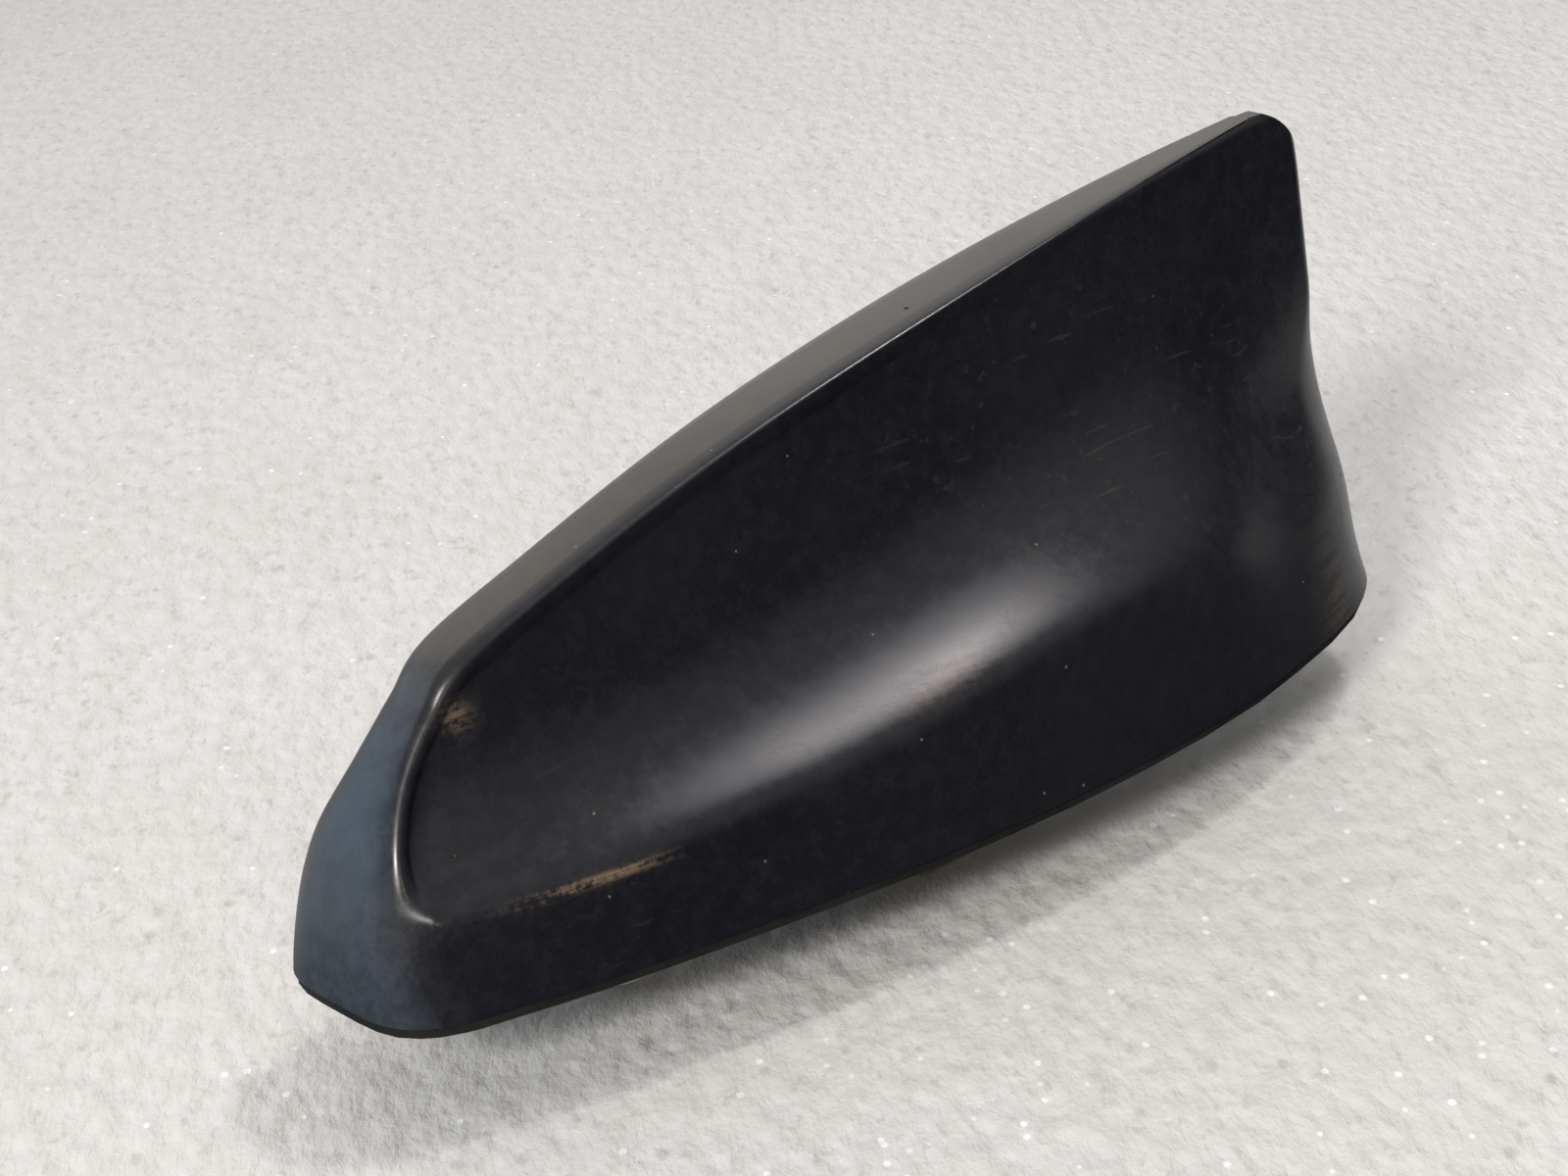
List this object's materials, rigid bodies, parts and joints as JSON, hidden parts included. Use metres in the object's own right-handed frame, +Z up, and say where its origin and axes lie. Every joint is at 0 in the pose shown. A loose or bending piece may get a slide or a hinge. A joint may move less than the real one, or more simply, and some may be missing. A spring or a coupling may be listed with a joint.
{
  "type": "shark fin aerial",
  "caption": "Shark-fin roof aerial: a satin black moulded cover with recessed flanks on a cast base, with its seal, boards, patch, sockets and a bolt-on claw foot.",
  "frame": {"origin": "on the fixing bolt's axis, in the plane of the roof skin that the seals rest on", "axes": "+X from the nose to the tail, +Y to the right-hand side seen from behind, +Z up from the roof"},
  "size_m": [0.1566, 0.0518, 0.0724],
  "materials": {
    "cover_plastic": "satin black moulding, scuffed and dusty",
    "seal_rubber": "matt black",
    "foam_rubber": "closed-cell, matt dark grey",
    "cast_base": "as cast, fine grain",
    "collar_plastic": "matt dark grey",
    "plated_steel": "zinc plated",
    "spring_steel": "yellow passivated",
    "socket_plastic": "matt blue",
    "contact_metal": "gold flashed",
    "nylon": "natural nylon",
    "insulator": "natural white",
    "board_green": "solder mask",
    "chip_black": "matt black",
    "tin_plate": "tin plated",
    "ceramic": "sintered ceramic",
    "silver": "fired silver",
    "copper_wire": "enamelled copper"
  },
  "bodies": {
    "root": {"fin_cover": "cover_plastic", "rim_gasket": "seal_rubber", "roof_seal": "foam_rubber", "base_plate": "cast_base", "foot_collar": "collar_plastic", "locating_peg": "nylon", "mounting_bolt": "plated_steel", "clamp_claw": "spring_steel", "socket_housings": "socket_plastic", "socket_shells": "contact_metal", "socket_insulators": "insulator", "socket_pins": "contact_metal", "main_board": "board_green", "board_chips": "chip_black", "shield_can": "tin_plate", "patch_aerial": "ceramic", "patch_electrode": "silver", "patch_pin": "silver", "phone_element": "tin_plate", "fin_board": "board_green", "fin_clips": "tin_plate", "coil_core": "chip_black", "coil_winding": "copper_wire", "cover_screws": "plated_steel", "board_screws": "plated_steel", "vent_membrane": "insulator"}
  },
  "joints": []
}
